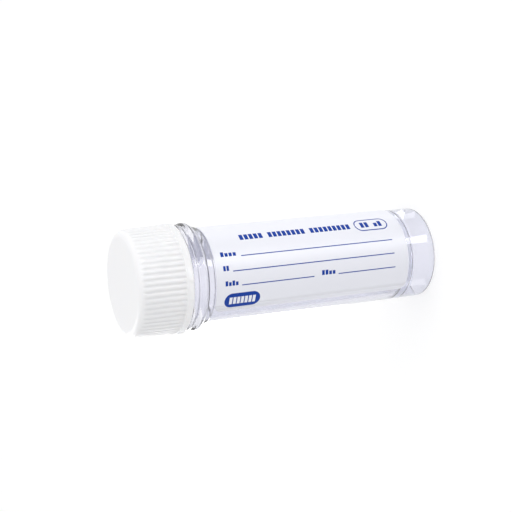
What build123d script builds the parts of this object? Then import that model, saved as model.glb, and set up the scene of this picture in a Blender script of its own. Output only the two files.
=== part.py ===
from build123d import *
import os
from math import atan, cos, degrees, radians, sin, sqrt

# Screw-capped specimen container: a clear moulded tube on a hollow skirt, a ribbed white cap
# screwed home on its neck, a sealing disc under the cap's end and a label round the tube.
# Millimetres. The tube's axis is Z, the container stands on Z = 0 and the label's print faces -Y.

# Tube
tube_diameter = 27.0
tube_wall = 1.4
tube_length = 71.0
skirt_height = 7.4
skirt_draft = 0.2
skirt_corner = 0.8
floor_thickness = 1.6
floor_corner_radius = 2.5
foot_edge = 0.3
gate_well_radius = 2.4
gate_well_depth = 0.4

# Collar of three stacked rings between the tube and the neck, each given by how far it
# stands out from the tube and by its height
step_projection = 0.5
step_chamfer = 0.5
lip_projection = 0.9
step_height = 2.1
bead_projection = 1.8
bead_height = 2.6
groove_projection = 1.2
groove_height = 0.4
ring_projection = 1.5
ring_height = 1.4

# Neck
neck_set_in = 0.6
neck_wall = 1.3
neck_height = 13.3
rim_edge = 0.3
bore_shoulder_height = 3.5

# Screw thread, right-handed, one ridge on the neck and one in the cap
thread_pitch = 4.0
thread_turns = 1.5
thread_depth = 0.8
thread_root_width = 2.2
thread_crest_width = 1.1
thread_clearance = 0.25
thread_flank_gap = 0.2
thread_rise = 3.1
thread_sink = 0.2
thread_fade_overcut = 0.06
cap_thread_lead = 90.0

# Cap
cap_wall = 0.7
cap_draft = 0.3
cap_end_thickness = 1.4
cap_edge_radius = 2.2
cap_foot_gap = 0.4
cap_inner_corner = 0.5
cap_lead_in = 0.4
band_height = 2.3
band_projection = 0.27
band_slope = 0.3
band_edge = 0.25
rib_count = 60
rib_depth = 0.28
groove_share_at_crest = 0.48
groove_share_at_root = 0.26

# Sealing disc
disc_thickness = 1.0
disc_edge_gap = 0.55

# Label
label_thickness = 0.12
label_glue_gap = 0.03
label_foot = 9.4
label_top_gap = 0.3
label_start_angle = -50.5
label_wrap_angle = 212.0
label_corner_radius = 2.0

# Radii that follow
tube_radius = tube_diameter / 2
tube_bore_radius = tube_radius - tube_wall
neck_radius = tube_radius - neck_set_in
neck_bore_radius = neck_radius - neck_wall
neck_thread_radius = neck_radius + thread_depth
cap_bore_radius = neck_thread_radius + thread_clearance
cap_thread_radius = neck_radius + thread_clearance
rib_root_radius = cap_bore_radius + cap_wall
rib_crest_radius = rib_root_radius + rib_depth
rib_foot_radius = rib_crest_radius + cap_draft
band_radius = rib_foot_radius + band_projection
disc_radius = cap_bore_radius - disc_edge_gap

# Heights that follow, from the foot up
floor_top = skirt_height + floor_thickness
lip_z = tube_length + step_height
bead_top = lip_z + bead_height
groove_top = bead_top + groove_height
collar_top = groove_top + ring_height
rim_z = collar_top + neck_height
disc_top = rim_z + disc_thickness
cap_top = disc_top + cap_end_thickness
cap_foot = collar_top + cap_foot_gap
band_top = cap_foot + band_height
rib_top = cap_top - cap_edge_radius
label_top = tube_length - label_top_gap

# Place of the cap's thread under the neck's: their widths at one radius, and the flank gap
flank_run = thread_root_width - thread_crest_width
shared_depth = cap_bore_radius - neck_radius
widths_together = 2 * thread_root_width - flank_run * shared_depth / thread_depth
thread_offset = widths_together / 2 + thread_flank_gap
thread_height = thread_turns * thread_pitch
neck_thread_foot = collar_top + thread_rise
cap_thread_foot = neck_thread_foot - thread_offset + thread_pitch * cap_thread_lead / 360


def thread_ridge(wall_radius, tip_radius):
    """A helical ridge from its wall to its tip, starting at Z = 0 on +X, sunk a little into the wall."""
    outward = 1 if tip_radius > wall_radius else -1
    root = outward * -thread_sink
    tip = tip_radius - wall_radius
    with BuildPart() as ridge:
        with BuildLine() as path:
            Helix(thread_pitch, thread_height, wall_radius)
        start = Plane(origin=path.line @ 0, x_dir=(1, 0, 0), z_dir=path.line % 0)
        with BuildSketch(start):
            with BuildLine():
                Polyline(
                    (root, -thread_root_width / 2),
                    (0, -thread_root_width / 2),
                    (tip, -thread_crest_width / 2),
                    (tip, thread_crest_width / 2),
                    (0, thread_root_width / 2),
                    (root, thread_root_width / 2),
                    close=True,
                )
            make_face()
        sweep(path=path.line, is_frenet=True)
    return ridge.part


# Height of the blocks that fade a thread's ends, less than the gap to its next turn
fade_height = thread_root_width + 1.0
end_angle = 360 * thread_turns

# Neck thread: a flat cut beside the neck takes each end of the ridge down to nothing
with BuildPart() as neck_thread:
    add(thread_ridge(neck_radius, neck_thread_radius))
    for angle, height in ((0, 0), (end_angle, thread_height)):
        with Locations(Location((0, 0, height), (0, 0, angle))):
            with Locations((neck_radius - thread_fade_overcut, 0, 0)):
                Box(
                    2 * thread_depth,
                    2 * neck_radius,
                    fade_height,
                    align=(Align.MIN, Align.CENTER, Align.CENTER),
                    mode=Mode.SUBTRACT,
                )

# Cap thread: a small round cut that reaches the cap's bore fades each end outwards
fade_radius = 0.7 * cap_bore_radius
with BuildPart() as cap_thread:
    add(thread_ridge(cap_bore_radius, cap_thread_radius))
    for angle, height in ((0, 0), (end_angle, thread_height)):
        with Locations(Location((0, 0, height), (0, 0, angle))):
            with Locations((cap_bore_radius - fade_radius + thread_fade_overcut, 0, 0)):
                Cylinder(fade_radius, fade_height, mode=Mode.SUBTRACT)

# Tube, skirt, collar and neck, moulded in one piece
with BuildPart() as tube_body:
    with BuildSketch(Plane.XZ):
        with BuildLine():
            Polyline(
                (0, skirt_height + gate_well_depth),
                (gate_well_radius, skirt_height + gate_well_depth),
                (gate_well_radius, skirt_height),
                (tube_bore_radius - skirt_draft - skirt_corner, skirt_height),
                (tube_bore_radius - skirt_draft, skirt_height - skirt_corner),
                (tube_bore_radius, 0),
                (tube_radius, 0),
                (tube_radius, tube_length),
                (tube_radius + step_projection, tube_length + step_chamfer),
                (tube_radius + lip_projection, lip_z),
            )
            ThreePointArc(
                (tube_radius + lip_projection, lip_z),
                (tube_radius + bead_projection, (lip_z + bead_top) / 2),
                (tube_radius + groove_projection, bead_top),
            )
            Line(
                (tube_radius + groove_projection, bead_top),
                (tube_radius + groove_projection, groove_top),
            )
            ThreePointArc(
                (tube_radius + groove_projection, groove_top),
                (tube_radius + ring_projection, (groove_top + collar_top) / 2),
                (tube_radius + groove_projection, collar_top),
            )
            Polyline(
                (tube_radius + groove_projection, collar_top),
                (neck_radius, collar_top),
                (neck_radius, rim_z),
                (neck_bore_radius, rim_z),
                (neck_bore_radius, tube_length + bore_shoulder_height),
                (tube_bore_radius, tube_length),
                (tube_bore_radius, floor_top + floor_corner_radius),
            )
            RadiusArc(
                (tube_bore_radius, floor_top + floor_corner_radius),
                (tube_bore_radius - floor_corner_radius, floor_top),
                floor_corner_radius,
            )
            Polyline(
                (tube_bore_radius - floor_corner_radius, floor_top),
                (0, floor_top),
                (0, skirt_height + gate_well_depth),
            )
        make_face()
    revolve(axis=Axis.Z)
    foot_edges = tube_body.edges().filter_by(GeomType.CIRCLE).group_by(Axis.Z)[0]
    chamfer(foot_edges, foot_edge)
    rim_edges = tube_body.edges().filter_by(GeomType.CIRCLE).group_by(Axis.Z)[-1]
    chamfer(rim_edges, rim_edge)
    with Locations((0, 0, neck_thread_foot)):
        add(neck_thread.part)
tube_body.part.label = "tube_body"

# One groove between two ribs, on +X, along the slant of the cap's side
cap_slant = degrees(atan(cap_draft / (rib_top - band_top)))
groove_foot = band_top - band_slope / 2
rib_pitch = 360 / rib_count
groove_root_width = groove_share_at_root * radians(rib_pitch) * rib_foot_radius
groove_crest_width = groove_share_at_crest * radians(rib_pitch) * rib_foot_radius
with BuildPart() as rib_groove:
    slanted = Plane(origin=(rib_foot_radius, 0, groove_foot), z_dir=(0, 0, 1)).rotated((0, -cap_slant, 0))
    with BuildSketch(slanted):
        with BuildLine():
            Polyline(
                (-rib_depth, -groove_root_width / 2),
                (rib_depth, -groove_crest_width + groove_root_width / 2),
                (rib_depth, groove_crest_width - groove_root_width / 2),
                (-rib_depth, groove_root_width / 2),
                close=True,
            )
        make_face()
    extrude(amount=cap_top - groove_foot)

# Cap
with BuildPart() as screw_cap:
    with BuildSketch(Plane.XZ):
        with BuildLine():
            Polyline(
                (0, disc_top),
                (cap_bore_radius - cap_inner_corner, disc_top),
                (cap_bore_radius, disc_top - cap_inner_corner),
                (cap_bore_radius, cap_foot + cap_lead_in),
                (cap_bore_radius + cap_lead_in, cap_foot),
                (band_radius, cap_foot),
                (band_radius, band_top - band_slope),
                (rib_foot_radius, band_top),
                (rib_crest_radius, rib_top),
            )
            RadiusArc(
                (rib_crest_radius, rib_top),
                (rib_crest_radius - cap_edge_radius, cap_top),
                -cap_edge_radius,
            )
            Polyline(
                (rib_crest_radius - cap_edge_radius, cap_top),
                (0, cap_top),
                (0, disc_top),
            )
        make_face()
    revolve(axis=Axis.Z)
    cap_foot_edge = screw_cap.edges().filter_by(GeomType.CIRCLE).group_by(Axis.Z)[0].sort_by(SortBy.RADIUS)[-1]
    chamfer(cap_foot_edge, band_edge)
    with Locations(Location((0, 0, cap_thread_foot), (0, 0, cap_thread_lead))):
        add(cap_thread.part)
    with PolarLocations(0, rib_count):
        add(rib_groove.part, mode=Mode.SUBTRACT)
screw_cap.part.label = "screw_cap"

# Sealing disc, flat between the rim and the cap's end
with BuildPart() as sealing_disc:
    with Locations((0, 0, rim_z)):
        Cylinder(disc_radius, disc_thickness, align=(Align.CENTER, Align.CENTER, Align.MIN))
sealing_disc.part.label = "sealing_disc"

# Label, a strip of paper wrapped most of the way round the tube, with round corners
label_inner_radius = tube_radius + label_glue_gap
label_outer_radius = label_inner_radius + label_thickness
label_start = label_start_angle - 90
corner_dip = label_corner_radius * (1 - sqrt(0.5))
with BuildPart() as label:
    with BuildSketch(Plane.XY.offset(label_foot)):
        with BuildLine():
            outer = CenterArc((0, 0), label_outer_radius, label_start, label_wrap_angle)
            inner = CenterArc((0, 0), label_inner_radius, label_start, label_wrap_angle)
            Line(outer @ 0, inner @ 0)
            Line(outer @ 1, inner @ 1)
        make_face()
    extrude(amount=label_top - label_foot)
    for angle, side in ((label_start, 1), (label_start + label_wrap_angle, -1)):
        for height, up in ((label_foot, 1), (label_top, -1)):
            across = (-sin(radians(angle)), cos(radians(angle)), 0)
            outward = (cos(radians(angle)), sin(radians(angle)), 0)
            with BuildSketch(Plane(origin=(0, 0, height), x_dir=across, z_dir=outward)):
                with BuildLine():
                    Line((0, 0), (side * label_corner_radius, 0))
                    ThreePointArc(
                        (side * label_corner_radius, 0),
                        (side * corner_dip, up * corner_dip),
                        (0, up * label_corner_radius),
                    )
                    Line((0, up * label_corner_radius), (0, 0))
                make_face()
            extrude(amount=label_outer_radius + label_thickness, mode=Mode.SUBTRACT)
label.part.label = "label"

os.makedirs("parts", exist_ok=True)
export_step(tube_body.part, "parts/tube_body.step")
export_step(screw_cap.part, "parts/screw_cap.step")
export_step(sealing_disc.part, "parts/sealing_disc.step")
export_step(label.part, "parts/label.step")
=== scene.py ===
from math import atan2, cos, pi, radians, sin, tan

import bpy
from bpy.props import FloatProperty, FloatVectorProperty, IntProperty, PointerProperty
from bpy.types import Operator, Panel, PropertyGroup
from mathutils import Matrix, Vector


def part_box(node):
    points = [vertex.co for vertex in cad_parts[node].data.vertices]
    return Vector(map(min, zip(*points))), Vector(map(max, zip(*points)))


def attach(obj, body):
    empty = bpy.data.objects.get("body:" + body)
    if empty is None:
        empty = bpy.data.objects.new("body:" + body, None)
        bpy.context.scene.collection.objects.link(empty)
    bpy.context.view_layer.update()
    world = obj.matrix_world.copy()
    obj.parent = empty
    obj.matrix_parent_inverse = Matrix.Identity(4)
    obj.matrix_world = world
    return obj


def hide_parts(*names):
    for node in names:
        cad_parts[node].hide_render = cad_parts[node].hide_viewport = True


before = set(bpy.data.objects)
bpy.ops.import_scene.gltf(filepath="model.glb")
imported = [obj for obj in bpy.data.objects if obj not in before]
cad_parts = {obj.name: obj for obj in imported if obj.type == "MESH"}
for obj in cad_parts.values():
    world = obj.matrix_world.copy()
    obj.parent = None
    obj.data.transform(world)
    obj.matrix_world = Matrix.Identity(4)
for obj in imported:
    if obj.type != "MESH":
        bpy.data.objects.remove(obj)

bl_info = {
    "name": "Specimen container",
    "version": (1, 0, 0),
    "blender": (4, 5, 0),
    "location": "View3D > Sidebar > Container",
    "description": "Dresses the packed specimen container for a studio picture",
    "category": "Object",
}

# Metres throughout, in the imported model's frame: the tube's axis is Z, the container stands on
# Z = 0 and the middle of its print faces -Y. Sizes below are written in millimetres times MM.
MM = 0.001

CAP_LOW, CAP_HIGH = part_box("screw_cap")
TUBE_LOW, TUBE_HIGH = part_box("tube_body")
LABEL_LOW, LABEL_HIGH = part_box("label")
LABEL_RADIUS = -LABEL_LOW.y
TUBE_RADIUS = 13.5 * MM


def linear_colour(code):
    """Turn an sRGB hex code into the linear red, green, blue and alpha that Blender works in."""
    levels = [int(code[place : place + 2], 16) / 255 for place in (0, 2, 4)]
    return [v / 12.92 if v <= 0.04045 else ((v + 0.055) / 1.055) ** 2.4 for v in levels] + [1.0]


class TubeSettings(PropertyGroup):
    """What a user would change on the clear tube."""

    plastic_colour: FloatVectorProperty(
        name="Plastic",
        description="Tint of the clear polystyrene",
        subtype="COLOR",
        size=4,
        min=0,
        max=1,
        default=linear_colour("F6F6FC"),
    )
    # The edge colour is partly the tint of a longer path through the plastic and partly painted shade that
    # darkens the tube towards its outline
    edge_tint_and_painted_shade: FloatVectorProperty(
        name="Edge",
        description="Tint of the plastic where the wall is seen edge on, through more of it",
        subtype="COLOR",
        size=4,
        min=0,
        max=1,
        default=linear_colour("B6B9CC"),
    )
    unpolished_colour: FloatVectorProperty(
        name="Unpolished floor",
        description="Tint of the floor, which the mould leaves half matt",
        subtype="COLOR",
        size=4,
        min=0,
        max=1,
        default=linear_colour("EEEFF8"),
    )
    edge_angle: FloatProperty(
        name="Edge angle",
        description="Faces that meet at less than this are shaded as one smooth surface",
        subtype="ANGLE",
        default=radians(28),
    )
    haze: FloatProperty(
        name="Haze",
        description="Roughness of the most handled patches of the plastic",
        subtype="FACTOR",
        default=0.06,
        min=0,
        max=1,
    )
    turns: IntProperty(
        name="Steps",
        description="Steps in which the tube's section is spun round its axis",
        default=160,
        min=24,
    )


class CapSettings(PropertyGroup):
    """What a user would change on the cap and its sealing disc."""

    cap_colour: FloatVectorProperty(
        name="Cap",
        description="Colour of the moulded polyethylene cap",
        subtype="COLOR",
        size=4,
        min=0,
        max=1,
        default=linear_colour("F6F6F8"),
    )
    foam_colour: FloatVectorProperty(
        name="Sealing disc",
        description="Colour of the foamed polyethylene disc",
        subtype="COLOR",
        size=4,
        min=0,
        max=1,
        default=linear_colour("EDECE6"),
    )
    edge_angle: FloatProperty(
        name="Edge angle",
        description="Faces that meet at less than this are shaded as one smooth surface",
        subtype="ANGLE",
        default=radians(24),
    )


class LabelSettings(PropertyGroup):
    """What a user would change on the label and its print."""

    paper_colour: FloatVectorProperty(
        name="Paper",
        description="Colour of the coated paper",
        subtype="COLOR",
        size=4,
        min=0,
        max=1,
        default=linear_colour("F0F1F9"),
    )
    ink_colour: FloatVectorProperty(
        name="Ink",
        description="Colour of the printing ink",
        subtype="COLOR",
        size=4,
        min=0,
        max=1,
        default=linear_colour("0A3596"),
    )
    thin_ink_colour: FloatVectorProperty(
        name="Thin ink",
        description="Colour of the ink where its film is thinner",
        subtype="COLOR",
        size=4,
        min=0,
        max=1,
        default=linear_colour("1848A8"),
    )
    ink_thickness: FloatProperty(
        name="Ink thickness",
        description="How far the ink stands on the paper",
        subtype="DISTANCE",
        unit="LENGTH",
        default=0.02 * MM,
        precision=6,
    )
    line_width: FloatProperty(
        name="Line width",
        description="Width of a writing line",
        subtype="DISTANCE",
        unit="LENGTH",
        default=0.27 * MM,
        precision=6,
    )
    curve_step: FloatProperty(
        name="Curve step",
        description="Longest piece of print that stays straight where the label curves",
        subtype="DISTANCE",
        unit="LENGTH",
        default=0.5 * MM,
        precision=6,
    )


class StageSettings(PropertyGroup):
    """What a user would change on the floor, the lamps and the camera."""

    floor_size: FloatProperty(
        name="Floor", description="Side of the floor", subtype="DISTANCE", unit="LENGTH", default=6.0
    )
    room_level: FloatProperty(
        name="Room", description="Brightness of the room's even light", default=0.95, min=0
    )
    key_power: FloatProperty(
        name="Main lamp", description="Power of the large soft lamp", unit="POWER", default=1.1
    )
    lens: FloatProperty(
        name="Lens", description="Focal length in millimetres on a 36 mm sensor", default=78.15
    )


def add_node(tree, kind, fields=None, inputs=None):
    """Add a node, set its fields, and fill its inputs with values or join them to other nodes."""
    node = tree.nodes.new(kind)
    for name, value in (fields or {}).items():
        setattr(node, name, value)
    for name, value in (inputs or {}).items():
        if isinstance(value, bpy.types.NodeSocket):
            tree.links.new(value, node.inputs[name])
        else:
            node.inputs[name].default_value = value
    return node


def new_material(name, values):
    """Make a material with one Principled shader, and give the material, its tree and the shader."""
    material = bpy.data.materials.new(name)
    material.use_nodes = True
    tree = material.node_tree
    tree.nodes.clear()
    shader = add_node(tree, "ShaderNodeBsdfPrincipled", inputs=values)
    add_node(tree, "ShaderNodeOutputMaterial", inputs={"Surface": shader.outputs["BSDF"]})
    return material, tree, shader


def clear_polystyrene(settings):
    """Crystal polystyrene, injection moulded: clear as glass and glossy, with faint patches of haze."""
    material, tree, shader = new_material(
        "Moulded clear polystyrene",
        {
            "Base Color": settings.plastic_colour,
            "Roughness": 0.03,
            "IOR": 1.59,
            "Transmission Weight": 1.0,
        },
    )
    place = add_node(tree, "ShaderNodeTexCoord")
    # Faint haze from handling, in patches about 6 mm across
    haze = add_node(
        tree,
        "ShaderNodeTexNoise",
        inputs={"Vector": place.outputs["Object"], "Scale": 1 / (6 * MM), "Detail": 2.0},
    )
    gloss = add_node(
        tree,
        "ShaderNodeMapRange",
        inputs={"Value": haze.outputs["Fac"], "To Min": 0.02, "To Max": settings.haze},
    )
    tree.links.new(gloss.outputs["Result"], shader.inputs["Roughness"])
    # Where the wall is seen edge on the colour turns greyer and darker: partly the tint of the longer path
    # through the plastic, partly painted shade towards the tube's outline
    facing = add_node(tree, "ShaderNodeLayerWeight", inputs={"Blend": 0.35})
    tint = add_node(
        tree,
        "ShaderNodeMix",
        {"data_type": "RGBA"},
        {0: facing.outputs["Facing"], 6: settings.plastic_colour, 7: settings.edge_tint_and_painted_shade},
    )
    tree.links.new(tint.outputs[2], shader.inputs["Base Color"])
    return material


def unpolished_polystyrene(settings):
    """The same plastic off an unpolished mould face: half matt, so light spreads in it."""
    material, tree, shader = new_material(
        "Unpolished clear polystyrene",
        {
            "Base Color": settings.unpolished_colour,
            "Roughness": 0.35,
            "IOR": 1.59,
            "Transmission Weight": 0.35,
        },
    )
    place = add_node(tree, "ShaderNodeTexCoord")
    # Tool marks of about 0.4 mm left on the mould's face
    marks = add_node(
        tree,
        "ShaderNodeTexNoise",
        inputs={"Vector": place.outputs["Object"], "Scale": 1 / (0.4 * MM), "Detail": 2.0},
    )
    bump = add_node(
        tree,
        "ShaderNodeBump",
        inputs={"Height": marks.outputs["Fac"], "Strength": 0.4, "Distance": 0.01 * MM},
    )
    tree.links.new(bump.outputs["Normal"], shader.inputs["Normal"])
    return material


def white_polyethylene(settings):
    """High-density polyethylene, injection moulded: waxy white, half matt, a little light passes into it."""
    material, tree, shader = new_material(
        "Moulded white polyethylene",
        {
            "Base Color": settings.cap_colour,
            "Roughness": 0.42,
            "IOR": 1.54,
            "Specular IOR Level": 0.3,
            "Subsurface Weight": 0.15,
            "Subsurface Radius": (1.0, 0.9, 0.8),
            "Subsurface Scale": 1.2 * MM,
        },
    )
    place = add_node(tree, "ShaderNodeTexCoord")
    # Spark-eroded mould grain of about 0.25 mm
    grain = add_node(
        tree,
        "ShaderNodeTexNoise",
        inputs={"Vector": place.outputs["Object"], "Scale": 1 / (0.5 * MM), "Detail": 3.0},
    )
    # Slow change of gloss, about 9 mm across, where the part cooled at different speeds
    cooling = add_node(
        tree,
        "ShaderNodeTexNoise",
        inputs={"Vector": place.outputs["Object"], "Scale": 1 / (9 * MM), "Detail": 2.0},
    )
    gloss = add_node(
        tree,
        "ShaderNodeMapRange",
        inputs={"Value": cooling.outputs["Fac"], "To Min": 0.36, "To Max": 0.5},
    )
    tree.links.new(gloss.outputs["Result"], shader.inputs["Roughness"])
    bump = add_node(
        tree,
        "ShaderNodeBump",
        inputs={"Height": grain.outputs["Fac"], "Strength": 0.6, "Distance": 0.01 * MM},
    )
    tree.links.new(bump.outputs["Normal"], shader.inputs["Normal"])
    return material


def foamed_polyethylene(settings):
    """Foamed polyethylene sheet, die cut: matt off-white skin with fine closed cells."""
    material, tree, shader = new_material(
        "Foamed polyethylene",
        {"Base Color": settings.foam_colour, "Roughness": 0.75, "IOR": 1.5},
    )
    place = add_node(tree, "ShaderNodeTexCoord")
    # Cells of about 0.35 mm, which show as shallow dimples in the skin
    cells = add_node(
        tree,
        "ShaderNodeTexVoronoi",
        inputs={"Vector": place.outputs["Object"], "Scale": 1 / (0.35 * MM)},
    )
    bump = add_node(
        tree,
        "ShaderNodeBump",
        inputs={"Height": cells.outputs["Distance"], "Strength": 0.7, "Distance": 0.05 * MM},
    )
    tree.links.new(bump.outputs["Normal"], shader.inputs["Normal"])
    return material


def coated_paper(settings):
    """Coated label paper: smooth, half matt, with a very faint fibre under the coating."""
    material, tree, shader = new_material(
        "Coated label paper",
        {"Base Color": settings.paper_colour, "Roughness": 0.38, "IOR": 1.48},
    )
    place = add_node(tree, "ShaderNodeTexCoord")
    # Fibre clumps of about 0.8 mm, drawn coarser than real ones so that they show at all
    fibre = add_node(
        tree,
        "ShaderNodeTexNoise",
        inputs={"Vector": place.outputs["Object"], "Scale": 1 / (0.8 * MM), "Detail": 4.0},
    )
    bump = add_node(
        tree,
        "ShaderNodeBump",
        inputs={"Height": fibre.outputs["Fac"], "Strength": 0.35, "Distance": 0.01 * MM},
    )
    tree.links.new(bump.outputs["Normal"], shader.inputs["Normal"])
    return material


def printing_ink(settings):
    """Flexographic ink on coated paper: even blue with a slight mottle, a little glossier than the paper."""
    material, tree, shader = new_material(
        "Flexographic ink",
        {"Roughness": 0.45, "IOR": 1.5, "Specular IOR Level": 0.15},
    )
    place = add_node(tree, "ShaderNodeTexCoord")
    # Mottle of about 0.4 mm, where the ink film is thinner
    mottle = add_node(
        tree,
        "ShaderNodeTexNoise",
        inputs={"Vector": place.outputs["Object"], "Scale": 1 / (0.4 * MM), "Detail": 2.0},
    )
    tone = add_node(
        tree,
        "ShaderNodeMix",
        {"data_type": "RGBA"},
        {0: mottle.outputs["Fac"], 6: settings.ink_colour, 7: settings.thin_ink_colour},
    )
    tree.links.new(tone.outputs[2], shader.inputs["Base Color"])
    return material


def edit_only(piece):
    """Select one piece alone, make it active and open it in edit mode."""
    bpy.ops.object.select_all(action="DESELECT")
    bpy.context.view_layer.objects.active = piece
    piece.select_set(True)
    bpy.ops.object.mode_set(mode="EDIT")


def smooth_copy(node, name, edge_angle):
    """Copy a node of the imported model, join its loose triangles and smooth it between its edges."""
    piece = bpy.data.objects.new(name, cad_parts[node].data.copy())
    piece.data.name = name
    bpy.context.scene.collection.objects.link(piece)
    edit_only(piece)
    bpy.ops.mesh.select_all(action="SELECT")
    bpy.ops.mesh.remove_doubles(threshold=0.0005 * MM)
    bpy.ops.mesh.tris_convert_to_quads(face_threshold=radians(1), shape_threshold=radians(60))
    bpy.ops.object.mode_set(mode="OBJECT")
    bpy.ops.object.shade_smooth_by_angle(angle=edge_angle)
    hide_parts(node)
    return piece


def set_material(piece, material):
    """Give a piece one material, in place of any that it has."""
    piece.data.materials.clear()
    piece.data.materials.append(material)


def shared_material(name, maker, settings):
    """Find a material by name, or have its maker make it once."""
    return bpy.data.materials.get(name) or maker(settings)


def rounded(corners, steps=4):
    """Round each corner of a section, given as radius, height and how far the rounding reaches."""
    line = []
    for place, (radius, height, reach) in enumerate(corners):
        corner = Vector((radius, 0, height))
        if not reach:
            line.append(corner)
            continue
        before = Vector((corners[place - 1][0], 0, corners[place - 1][1]))
        after = Vector((corners[place + 1][0], 0, corners[place + 1][1]))
        start = corner + (before - corner).normalized() * reach
        end = corner + (after - corner).normalized() * reach
        for step in range(steps + 1):
            share = step / steps
            line.append(start.lerp(corner, share).lerp(corner.lerp(end, share), share))
    return line


def bulge(low, middle, high, steps=8):
    """Section points of a round ring between two heights, from its foot over its middle to its top."""
    line = []
    for step in range(steps + 1):
        share = step / steps
        swell = 4 * share * (1 - share)
        foot_to_top = Vector(low).lerp(Vector(high), share)
        half_way = (Vector(low) + Vector(high)) / 2
        line.append(foot_to_top + (Vector(middle) - half_way) * swell)
    return [Vector((point.x, 0, point.y)) for point in line]


def spun(name, line, steps):
    """Draw a section point by point and spin it once round the tube's axis."""
    bpy.ops.object.select_all(action="DESELECT")
    bpy.ops.mesh.primitive_plane_add(size=0.1 * MM, location=line[0])
    piece = bpy.context.active_object
    piece.name = piece.data.name = name
    bpy.ops.object.transform_apply(location=True, rotation=False, scale=False)
    bpy.ops.object.mode_set(mode="EDIT")
    bpy.ops.mesh.select_all(action="SELECT")
    bpy.ops.mesh.merge(type="CENTER")
    for start, end in zip(line, line[1:]):
        bpy.ops.mesh.extrude_region_move(TRANSFORM_OT_translate={"value": end - start})
    bpy.ops.mesh.select_all(action="SELECT")
    bpy.ops.mesh.spin(steps=steps, angle=2 * pi, center=(0, 0, 0), axis=(0, 0, 1))
    bpy.ops.mesh.select_all(action="SELECT")
    bpy.ops.mesh.remove_doubles(threshold=0.002 * MM)
    bpy.ops.mesh.normals_make_consistent(inside=False)
    bpy.ops.object.mode_set(mode="OBJECT")
    return piece


def neck_thread(steps):
    """Sweep the thread's section up the neck, close its ends and fade them into the wall."""
    wall, depth, pitch, turns, foot = 12.9 * MM, 0.8 * MM, 4 * MM, 1.5, 80.6 * MM
    sunk, root, crest = 0.2 * MM, 2.2 * MM, 1.1 * MM
    bpy.ops.object.select_all(action="DESELECT")
    bpy.ops.mesh.primitive_plane_add(size=1, location=(wall, 0, foot), rotation=(pi / 2, 0, 0))
    ridge = bpy.context.active_object
    ridge.name = ridge.data.name = "neck_thread"
    bpy.ops.object.transform_apply(location=True, rotation=True, scale=True)
    for corner in ridge.data.vertices:
        outer = corner.co.x > wall
        width = crest if outer else root
        corner.co.x = wall + (depth if outer else -sunk)
        corner.co.z = foot + (width / 2 if corner.co.z > foot else -width / 2)
    sweep = ridge.modifiers.new("Sweep", "SCREW")
    sweep.angle = turns * 2 * pi
    sweep.screw_offset = turns * pitch
    sweep.steps = sweep.render_steps = int(steps * turns)
    sweep.use_merge_vertices = False
    bpy.ops.object.modifier_apply(modifier=sweep.name)
    fade = radians(25)
    for corner in ridge.data.vertices:
        angle = atan2(corner.co.y, corner.co.x) % (2 * pi)
        rise = corner.co.z - foot
        turned = angle + 2 * pi * round((rise / pitch * 2 * pi - angle) / (2 * pi))
        left = max(0.0, min(turned, turns * 2 * pi - turned)) / fade
        radius = corner.co.xy.length
        if left < 1 and radius > wall:
            kept = (wall + (radius - wall) * (left - 0.05 * (1 - left))) / radius
            corner.co.x *= kept
            corner.co.y *= kept
    edit_only(ridge)
    bpy.ops.mesh.select_all(action="SELECT")
    bpy.ops.mesh.remove_doubles(threshold=0.002 * MM)
    bpy.ops.mesh.select_all(action="DESELECT")
    bpy.ops.mesh.select_non_manifold()
    bpy.ops.mesh.edge_face_add()
    bpy.ops.mesh.select_all(action="SELECT")
    bpy.ops.mesh.fill_holes(sides=6)
    bpy.ops.mesh.normals_make_consistent(inside=False)
    bpy.ops.object.mode_set(mode="OBJECT")
    return ridge


def tube_section():
    """The tube's section, from the gate well under its floor, round its outside, to its floor inside."""
    skirt_and_tube = [
        (0, 7.8, 0),
        (2.4, 7.8, 0.1),
        (2.4, 7.4, 0.1),
        (11.9, 7.4, 0.8),
        (12.1, 0.0, 0.25),
        (13.5, 0.0, 0.35),
        (13.5, 71.0, 0.25),
        (14.0, 71.5, 0.2),
        (14.4, 73.1, 0),
    ]
    bead = bulge((14.4, 73.1), (15.3, 74.4), (14.7, 75.7))
    ring = bulge((14.7, 76.1), (15.0, 76.8), (14.7, 77.5))
    neck_and_inside = [
        (14.7, 77.5, 0),
        (12.9, 77.5, 0.25),
        (12.9, 90.8, 0.3),
        (11.6, 90.8, 0.3),
        (11.6, 74.5, 1.0),
        (12.1, 71.0, 1.0),
        (12.1, 9.0, 2.0),
        (0, 9.0, 0),
    ]
    line = rounded(skirt_and_tube) + bead[1:] + ring + rounded(neck_and_inside)[1:]
    return [point * MM for point in line]


class CONTAINER_OT_tube(Operator):
    """Dress the clear tube with its skirt, collar and threaded neck"""

    bl_idname = "container.tube"
    bl_label = "Clear tube"

    def execute(self, context):
        settings = context.scene.container_tube
        tube = spun("clear_tube", tube_section(), settings.turns)
        thread = neck_thread(settings.turns)
        bpy.ops.object.select_all(action="DESELECT")
        context.view_layer.objects.active = tube
        join = tube.modifiers.new("Thread", "BOOLEAN")
        join.operation = "UNION"
        join.solver = "EXACT"
        join.object = thread
        bpy.ops.object.modifier_apply(modifier=join.name)
        bpy.data.objects.remove(thread)
        tube.select_set(True)
        bpy.ops.object.shade_smooth_by_angle(angle=settings.edge_angle)
        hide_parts("tube_body")
        set_material(tube, clear_polystyrene(settings))
        tube.data.materials.append(unpolished_polystyrene(settings))
        for face in tube.data.polygons:
            level = abs(face.normal.z) > 0.9 and face.center.xy.length < 11 * MM
            if level and face.center.z < 9.5 * MM:
                face.material_index = 1
        # Light passes through the real tube, so its shadow is left to the cap and the print
        tube.visible_shadow = False
        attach(tube, "container")
        return {"FINISHED"}


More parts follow.
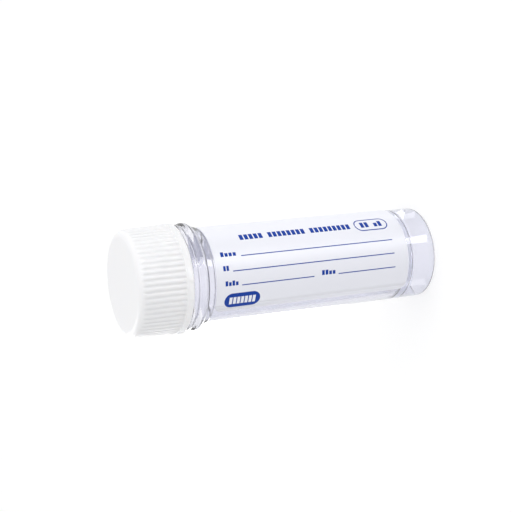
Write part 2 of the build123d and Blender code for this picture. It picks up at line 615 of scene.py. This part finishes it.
class CONTAINER_OT_cap(Operator):
    """Dress the ribbed cap"""

    bl_idname = "container.cap"
    bl_label = "Ribbed cap"

    def execute(self, context):
        settings = context.scene.container_cap
        cap = smooth_copy("screw_cap", "ribbed_cap", settings.edge_angle)
        set_material(cap, white_polyethylene(settings))
        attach(cap, "cap")
        return {"FINISHED"}


class CONTAINER_OT_disc(Operator):
    """Dress the foamed sealing disc under the cap's end"""

    bl_idname = "container.disc"
    bl_label = "Sealing disc"

    def execute(self, context):
        settings = context.scene.container_cap
        set_material(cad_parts["sealing_disc"], foamed_polyethylene(settings))
        return {"FINISHED"}


class CONTAINER_OT_label(Operator):
    """Dress the paper label"""

    bl_idname = "container.label"
    bl_label = "Label"

    def execute(self, context):
        settings = context.scene.container_label
        label = smooth_copy("label", "paper_label", radians(20))
        set_material(label, shared_material("Coated label paper", coated_paper, settings))
        # The thin paper lets light into the tube, so it casts no hard shadow there
        label.visible_shadow = False
        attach(label, "container")
        return {"FINISHED"}


# The print is drawn flat, with X along the arc from the middle of the print and Z the height,
# and is then bent round the label. Words run from the cap down to the foot.


def new_print(name):
    """Start an empty print and open it in edit mode."""
    bpy.ops.object.select_all(action="DESELECT")
    bpy.ops.mesh.primitive_plane_add(size=1)
    piece = bpy.context.active_object
    piece.name = piece.data.name = name
    bpy.ops.object.mode_set(mode="EDIT")
    bpy.ops.mesh.select_all(action="SELECT")
    bpy.ops.mesh.delete(type="VERT")
    return piece


def add_bar(arc, height, arc_size, height_size, layer=0.0):
    """Add a rectangle to the open print, by its middle and its size along the arc and the height."""
    middle = (arc, -layer, height)
    bpy.ops.mesh.primitive_plane_add(size=1, location=middle, rotation=(pi / 2, 0, 0))
    bpy.ops.transform.resize(value=(arc_size, 1, height_size), center_override=middle)


def add_pill(arc, height, arc_size, height_size):
    """Add a rectangle with full round ends to the open print."""
    add_bar(arc, height, arc_size, height_size)
    bpy.ops.mesh.bevel(offset=arc_size * 0.499, offset_type="OFFSET", segments=12, affect="VERTICES")


def add_row(top, length, base, heights, layer=0.0):
    """Add a row of plain blocks of those heights from the top down, with a gap for each height of 0."""
    pitch = length / len(heights)
    for place, height in enumerate(heights):
        if height:
            middle = top - (place + 0.5) * pitch
            add_bar(base + height / 2, middle, height, pitch * 0.74, layer)


def wrap_print(piece, settings):
    """Give the open flat print its thickness and bend it round the label."""
    bpy.ops.mesh.select_all(action="SELECT")
    arcs = [corner.co.x for corner in bpy.context.edit_object.data.vertices]
    bpy.ops.object.mode_set(mode="OBJECT")
    arcs = [corner.co.x for corner in piece.data.vertices]
    bpy.ops.object.mode_set(mode="EDIT")
    cuts = int((max(arcs) - min(arcs)) / settings.curve_step)
    for cut in range(1, cuts + 1):
        bpy.ops.mesh.select_all(action="SELECT")
        bpy.ops.mesh.bisect(
            plane_co=(min(arcs) + cut * settings.curve_step, 0, 0), plane_no=(1, 0, 0)
        )
    bpy.ops.object.mode_set(mode="OBJECT")
    ink = piece.modifiers.new("Ink film", "SOLIDIFY")
    ink.thickness = settings.ink_thickness
    ink.offset = 1
    bpy.ops.object.modifier_apply(modifier=ink.name)
    bend = piece.modifiers.new("Round the label", "SIMPLE_DEFORM")
    bend.deform_method = "BEND"
    bend.deform_axis = "Z"
    bend.angle = (max(arcs) - min(arcs)) / LABEL_RADIUS
    bpy.ops.object.modifier_apply(modifier=bend.name)
    edit_only(piece)
    bpy.ops.mesh.select_all(action="SELECT")
    bpy.ops.transform.translate(value=(0, -LABEL_RADIUS, 0))
    bpy.ops.object.mode_set(mode="OBJECT")
    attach(piece, "container")


class CONTAINER_OT_writing_lines(Operator):
    """Print the writing lines"""

    bl_idname = "container.writing_lines"
    bl_label = "Writing lines"

    def execute(self, context):
        settings = context.scene.container_label
        lines = new_print("writing_lines")
        for arc, top, foot in (
            (4.25, 62.5, 14.0),
            (0.2, 65.7, 14.1),
            (-3.9, 63.2, 40.8),
            (-3.9, 33.0, 14.0),
        ):
            add_bar(arc * MM, (top + foot) / 2 * MM, settings.line_width, (top - foot) * MM)
        wrap_print(lines, settings)
        set_material(lines, shared_material("Flexographic ink", printing_ink, settings))
        return {"FINISHED"}


class CONTAINER_OT_words(Operator):
    """Print rows of plain marks where a label has words"""

    bl_idname = "container.words"
    bl_label = "Word marks"

    def execute(self, context):
        settings = context.scene.container_label
        words = new_print("word_marks")
        capital, small = 2.0 * MM, 1.05 * MM
        title = [capital] * 5 + [0] + [capital] * 8 + [0] + [capital] * 9
        add_row(61.4 * MM, 35.5 * MM, 9.2 * MM, title)
        capital = 1.4 * MM
        for top, length, base, heights in (
            (68.7, 4.9, 4.4, [capital, small, small, small]),
            (68.6, 1.9, 0.4, [capital, capital]),
            (68.3, 4.1, -3.8, [capital, small, capital, small]),
            (38.5, 4.6, -3.8, [capital, capital, small, small]),
        ):
            add_row(top * MM, length * MM, base * MM, heights)
        wrap_print(words, settings)
        set_material(words, shared_material("Flexographic ink", printing_ink, settings))
        return {"FINISHED"}


class CONTAINER_OT_pills(Operator):
    """Print the outlined pill and the filled pill, each with its marks"""

    bl_idname = "container.pills"
    bl_label = "Pills"

    def execute(self, context):
        settings = context.scene.container_label
        ink = shared_material("Flexographic ink", printing_ink, settings)
        paper = shared_material("Coated label paper", coated_paper, settings)

        outline = new_print("outlined_pill")
        add_pill(10.3 * MM, 18.9 * MM, 4.6 * MM, 11.0 * MM)
        bpy.ops.mesh.inset(thickness=0.32 * MM)
        bpy.ops.mesh.delete(type="FACE")
        wrap_print(outline, settings)
        set_material(outline, ink)

        marks = new_print("outlined_pill_marks")
        tall, low = 2.1 * MM, 1.5 * MM
        add_row(22.6 * MM, 7.4 * MM, 9.25 * MM, [tall, tall, 0, low, tall])
        wrap_print(marks, settings)
        set_material(marks, ink)

        filled = new_print("filled_pill")
        add_pill(-8.4 * MM, 62.8 * MM, 4.6 * MM, 10.8 * MM)
        wrap_print(filled, settings)
        set_material(filled, ink)

        marks = new_print("filled_pill_marks")
        add_row(66.9 * MM, 8.2 * MM, -9.5 * MM, [2.2 * MM] * 7, settings.ink_thickness)
        wrap_print(marks, settings)
        set_material(marks, paper)
        return {"FINISHED"}


def room_light(settings):
    """Light the scene evenly from all round, and show white where the floor ends."""
    world = bpy.context.scene.world or bpy.data.worlds.new("Room")
    bpy.context.scene.world = world
    world.use_nodes = True
    tree = world.node_tree
    tree.nodes.clear()
    path = add_node(tree, "ShaderNodeLightPath")
    # The room is brighter on the side of the main lamp, +X, and falls off across the object
    direction = add_node(tree, "ShaderNodeTexCoord")
    across = add_node(
        tree, "ShaderNodeSeparateXYZ", inputs={"Vector": direction.outputs["Generated"]}
    )
    level = add_node(
        tree,
        "ShaderNodeMapRange",
        inputs={
            "Value": across.outputs["X"],
            "From Min": -1.0,
            "From Max": 1.0,
            "To Min": settings.room_level * 0.93,
            "To Max": settings.room_level * 1.21,
        },
    )
    # It is dimmer overhead, so the cap's flat end doesn't glare
    overhead = add_node(
        tree, "ShaderNodeMapRange", inputs={"Value": across.outputs["Z"], "To Min": 1.0, "To Max": 0.8}
    )
    level = add_node(
        tree,
        "ShaderNodeMath",
        {"operation": "MULTIPLY"},
        {0: level.outputs["Result"], 1: overhead.outputs["Result"]},
    )
    even = add_node(
        tree,
        "ShaderNodeBackground",
        inputs={"Color": linear_colour("FFFFFF"), "Strength": level.outputs[0]},
    )
    white = add_node(
        tree, "ShaderNodeBackground", inputs={"Color": linear_colour("FFFFFF"), "Strength": 1.0}
    )
    seen = add_node(
        tree,
        "ShaderNodeMath",
        {"operation": "MAXIMUM"},
        {0: path.outputs["Is Camera Ray"], 1: path.outputs["Is Glossy Ray"]},
    )
    through = add_node(
        tree,
        "ShaderNodeMath",
        {"operation": "MAXIMUM"},
        {0: seen.outputs[0], 1: path.outputs["Is Transmission Ray"]},
    )
    both = add_node(
        tree,
        "ShaderNodeMixShader",
        inputs={0: through.outputs[0], 1: even.outputs[0], 2: white.outputs[0]},
    )
    add_node(tree, "ShaderNodeOutputWorld", inputs={"Surface": both.outputs[0]})


def floor_material():
    """Matt white paper sweep that the camera, gloss and clear plastic see as white, shadow kept."""
    material = bpy.data.materials.new("White paper floor")
    material.use_nodes = True
    tree = material.node_tree
    tree.nodes.clear()
    path = add_node(tree, "ShaderNodeLightPath")
    seen = add_node(
        tree,
        "ShaderNodeMath",
        {"operation": "MAXIMUM"},
        {0: path.outputs["Is Camera Ray"], 1: path.outputs["Is Glossy Ray"]},
    )
    through = add_node(
        tree,
        "ShaderNodeMath",
        {"operation": "MAXIMUM"},
        {0: seen.outputs[0], 1: path.outputs["Is Transmission Ray"]},
    )
    lift = add_node(
        tree,
        "ShaderNodeMath",
        {"operation": "MULTIPLY"},
        {0: through.outputs[0], 1: 0.28},
    )
    paper = add_node(tree, "ShaderNodeBsdfDiffuse", inputs={"Color": linear_colour("E8E8E8")})
    glow = add_node(
        tree,
        "ShaderNodeEmission",
        inputs={"Color": linear_colour("FFFFFF"), "Strength": lift.outputs[0]},
    )
    both = add_node(
        tree, "ShaderNodeAddShader", inputs={0: paper.outputs[0], 1: glow.outputs[0]}
    )
    add_node(tree, "ShaderNodeOutputMaterial", inputs={"Surface": both.outputs[0]})
    return material


def glowing_material(name, strength):
    """An evenly glowing white surface."""
    material = bpy.data.materials.new(name)
    material.use_nodes = True
    tree = material.node_tree
    tree.nodes.clear()
    glow = add_node(tree, "ShaderNodeEmission", inputs={"Strength": strength})
    add_node(tree, "ShaderNodeOutputMaterial", inputs={"Surface": glow.outputs[0]})
    return material


def add_card(name, side, spread, strength):
    """Lay a glowing strip on the floor and stand one behind it, for a long streak on the tube's side.

    The side is the angle round the tube, from -Y, at which the streak shows to a camera on -Y.
    """
    reach, height, near = 0.25, 0.5, 0.002
    wide = 2 * reach * tan(spread)
    bpy.ops.object.select_all(action="DESELECT")
    bpy.ops.mesh.primitive_plane_add(size=1, location=(0, -(near + reach) / 2, 0.3 * MM))
    card = bpy.context.active_object
    card.name = name
    card.scale = (wide, reach - near, 1)
    bpy.ops.object.transform_apply(location=True, rotation=True, scale=True)
    for corner in card.data.vertices:
        if corner.co.y > -reach / 2:
            corner.co.x = 1.5 * MM if corner.co.x > 0 else -1.5 * MM
    far_edge = [corner.co.y < -reach / 2 for corner in card.data.vertices]
    for edge in card.data.edges:
        edge.select = all(far_edge[end] for end in edge.vertices)
    for corner in card.data.vertices:
        corner.select = far_edge[corner.index]
    for face in card.data.polygons:
        face.select = False
    bpy.context.tool_settings.mesh_select_mode = (False, True, False)
    bpy.ops.object.mode_set(mode="EDIT")
    bpy.ops.mesh.extrude_edges_move(TRANSFORM_OT_translate={"value": (0, 0, height)})
    bpy.ops.object.mode_set(mode="OBJECT")
    bpy.context.tool_settings.mesh_select_mode = (True, False, False)
    foot = Matrix.Translation((TUBE_RADIUS * sin(side), -TUBE_RADIUS * cos(side), 0))
    card.matrix_world = foot @ Matrix.Rotation(2 * side, 4, "Z")
    set_material(card, glowing_material(name, strength))
    card.visible_camera = False
    card.visible_diffuse = False
    card.visible_transmission = False
    card.visible_shadow = False


def add_lamp(name, place, aim, width, height, power):
    """Add a soft rectangular lamp at a place, turned to face a point."""
    bpy.ops.object.light_add(type="AREA", location=place)
    lamp = bpy.context.active_object
    lamp.name = name
    lamp.data.shape = "RECTANGLE"
    lamp.data.size = width
    lamp.data.size_y = height
    lamp.data.energy = power
    lamp.rotation_euler = (Vector(aim) - Vector(place)).to_track_quat("-Z", "Y").to_euler()
    return lamp


class CONTAINER_OT_stage(Operator):
    """Set up the floor, the lamps and the camera"""

    bl_idname = "container.stage"
    bl_label = "Stage"

    def execute(self, context):
        settings = context.scene.container_stage
        bpy.ops.object.select_all(action="DESELECT")
        bpy.ops.mesh.primitive_plane_add(size=settings.floor_size)
        floor = context.active_object
        floor.name = "floor"
        set_material(floor, floor_material())
        room_light(settings)

        middle = (0, 0, CAP_HIGH.z / 2)
        add_lamp("Main lamp", (0.6, -0.35, 0.45), middle, 0.6, 0.6, settings.key_power)
        for name, side, spread, strength in (
            ("front_card", 15, 8, 6.0),
            ("right_card", 55, 6, 2.0),
            ("left_card", -45, 6, 2.0),
            ("back_card", 105, 8, 5.0),
        ):
            add_card(name, radians(side), radians(spread), strength)

        place = Vector((0, -0.29218, 0.18536))
        aim = Vector((0.0038, 0, 0.05215))
        roll = radians(-96.12)
        bpy.ops.object.camera_add(location=place)
        camera = context.active_object
        turned = (aim - place).to_track_quat("-Z", "Y").to_matrix()
        camera.rotation_euler = (turned @ Matrix.Rotation(roll, 3, "Z")).to_euler()
        camera.data.lens = settings.lens
        camera.data.sensor_width = 36
        context.scene.camera = camera
        context.scene.view_settings.view_transform = "Standard"
        return {"FINISHED"}


OPERATORS = (
    CONTAINER_OT_tube,
    CONTAINER_OT_cap,
    CONTAINER_OT_disc,
    CONTAINER_OT_label,
    CONTAINER_OT_writing_lines,
    CONTAINER_OT_words,
    CONTAINER_OT_pills,
    CONTAINER_OT_stage,
)


class CONTAINER_PT_sidebar(Panel):
    """Steps that dress the container, in order"""

    bl_idname = "CONTAINER_PT_sidebar"
    bl_label = "Specimen container"
    bl_space_type = "VIEW_3D"
    bl_region_type = "UI"
    bl_category = "Container"

    def draw(self, context):
        for operator in OPERATORS:
            self.layout.operator(operator.bl_idname)


SETTINGS = {
    "container_tube": TubeSettings,
    "container_cap": CapSettings,
    "container_label": LabelSettings,
    "container_stage": StageSettings,
}


def register():
    for group in (*SETTINGS.values(), *OPERATORS, CONTAINER_PT_sidebar):
        bpy.utils.register_class(group)
    for name, group in SETTINGS.items():
        setattr(bpy.types.Scene, name, PointerProperty(type=group))


def unregister():
    for name in SETTINGS:
        delattr(bpy.types.Scene, name)
    for group in reversed((*SETTINGS.values(), *OPERATORS, CONTAINER_PT_sidebar)):
        bpy.utils.unregister_class(group)


def main():
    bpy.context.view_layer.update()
    register()
    bpy.ops.container.tube()
    bpy.ops.container.cap()
    bpy.ops.container.disc()
    bpy.ops.container.label()
    bpy.ops.container.writing_lines()
    bpy.ops.container.words()
    bpy.ops.container.pills()
    bpy.ops.container.stage()


if __name__ == "__main__":
    main()
